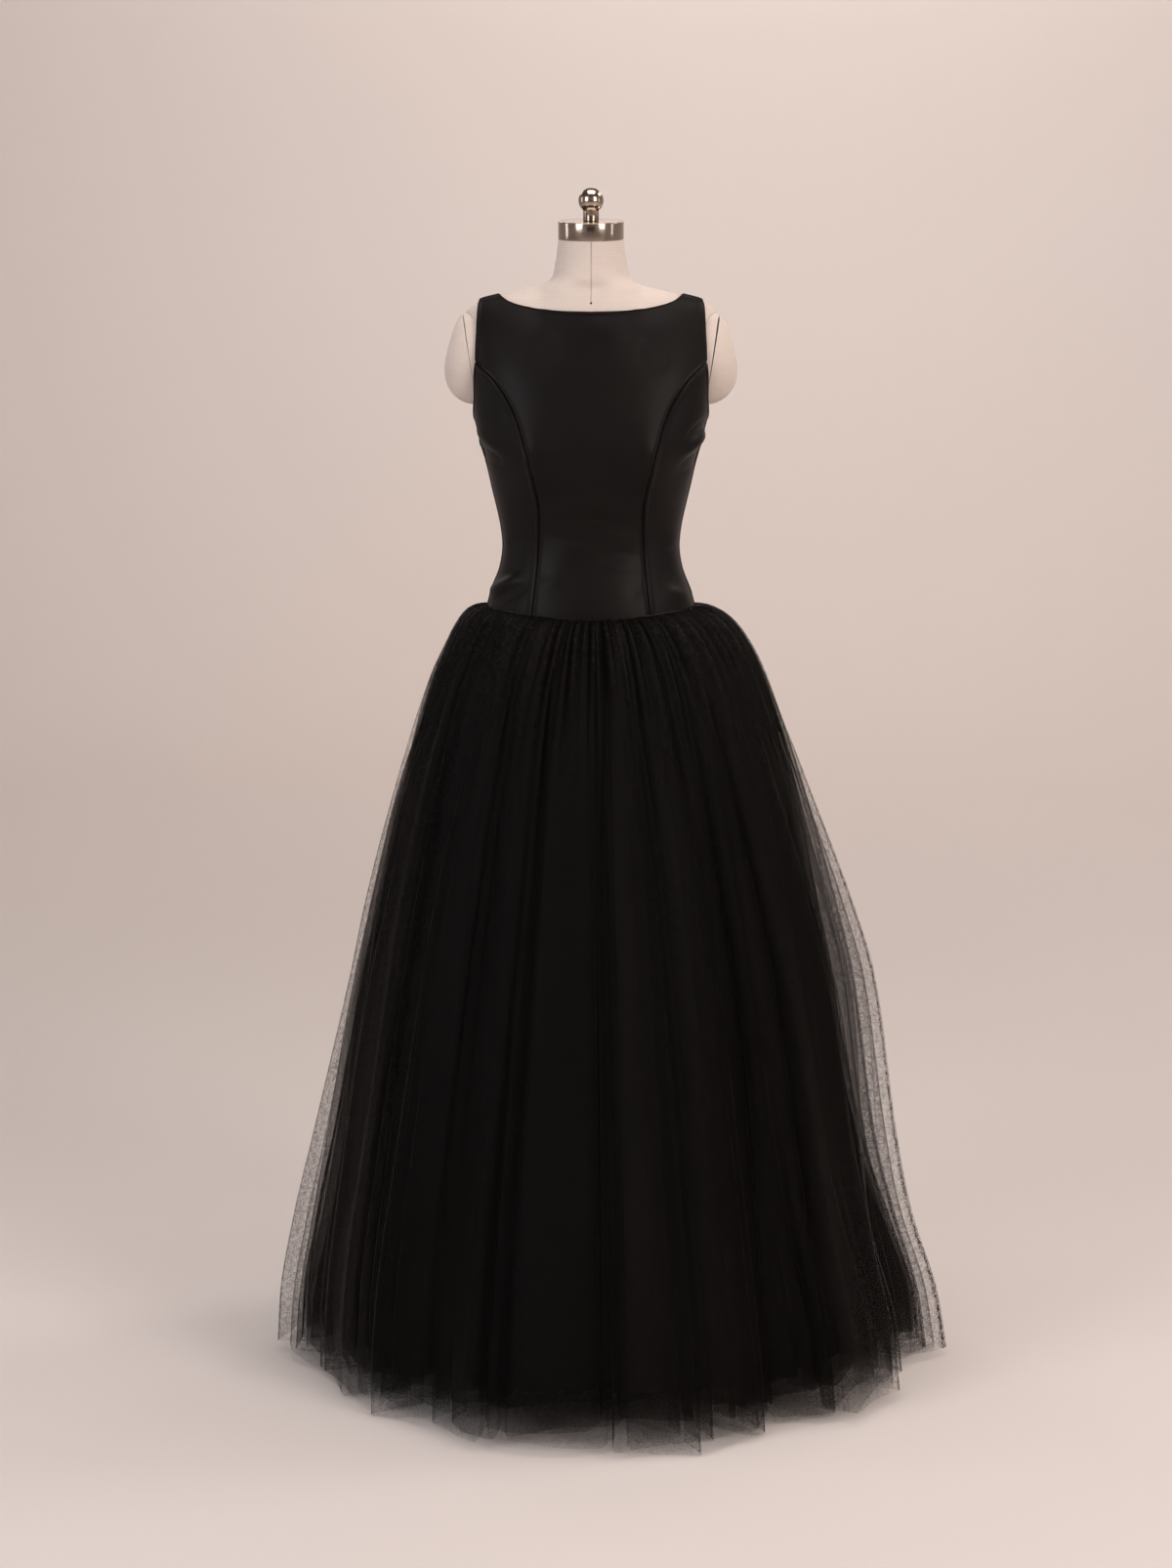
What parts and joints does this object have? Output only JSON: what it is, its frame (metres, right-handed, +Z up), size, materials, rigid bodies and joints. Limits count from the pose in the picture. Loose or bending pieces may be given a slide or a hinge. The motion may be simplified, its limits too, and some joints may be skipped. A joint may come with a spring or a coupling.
{
  "type": "bridesmaid dress on a dress form",
  "caption": "Black floor-length bridesmaid gown with a boat-neck satin bodice and a gathered tulle skirt, worn by a limbless dress form on a stand.",
  "frame": {"origin": "centre of the stand's base on the floor, under the form's axis", "axes": "+Z up, -Y towards the gown's front, +X to the right of someone who faces the front"},
  "size_m": [0.947, 0.9372, 1.6596],
  "materials": {
    "satin": "smooth black satin with a soft sheen",
    "outer_tulle": "sheer black net",
    "inner_tulle": "sheer black net",
    "skirt_lining": "plain black lining",
    "form_linen": "beige linen, plain weave",
    "polished_steel": "polished turned steel",
    "stand_steel": "brushed tube",
    "stand_enamel": "satin enamel",
    "zip_metal": "black enamel"
  },
  "bodies": {
    "gown_on_form": {"bodice_front_centre": "satin", "bodice_side_front_left": "satin", "bodice_side_front_right": "satin", "bodice_side_back_left": "satin", "bodice_side_back_right": "satin", "bodice_back_left": "satin", "bodice_back_right": "satin", "skirt_outer_tulle_front": "outer_tulle", "skirt_outer_tulle_back": "outer_tulle", "skirt_inner_tulle_front": "inner_tulle", "skirt_inner_tulle_back": "inner_tulle", "skirt_lining_front": "skirt_lining", "skirt_lining_back": "skirt_lining", "form_torso": "form_linen", "form_arm_cap_left": "form_linen", "form_arm_cap_right": "form_linen", "neck_cap": "polished_steel", "neck_knob": "polished_steel", "stand_pole": "stand_steel", "stand_base": "stand_enamel", "zip_slider": "zip_metal"},
    "pull_tab": {"zip_pull": "zip_metal"}
  },
  "joints": [
    {"name": "pull_tab_hinge", "type": "hinge", "parent": "gown_on_form", "child": "pull_tab", "pos_m": [0, 0.09752, 1.46948], "axis": [1, 0, 0], "range_deg": [0, 165]}
  ]
}
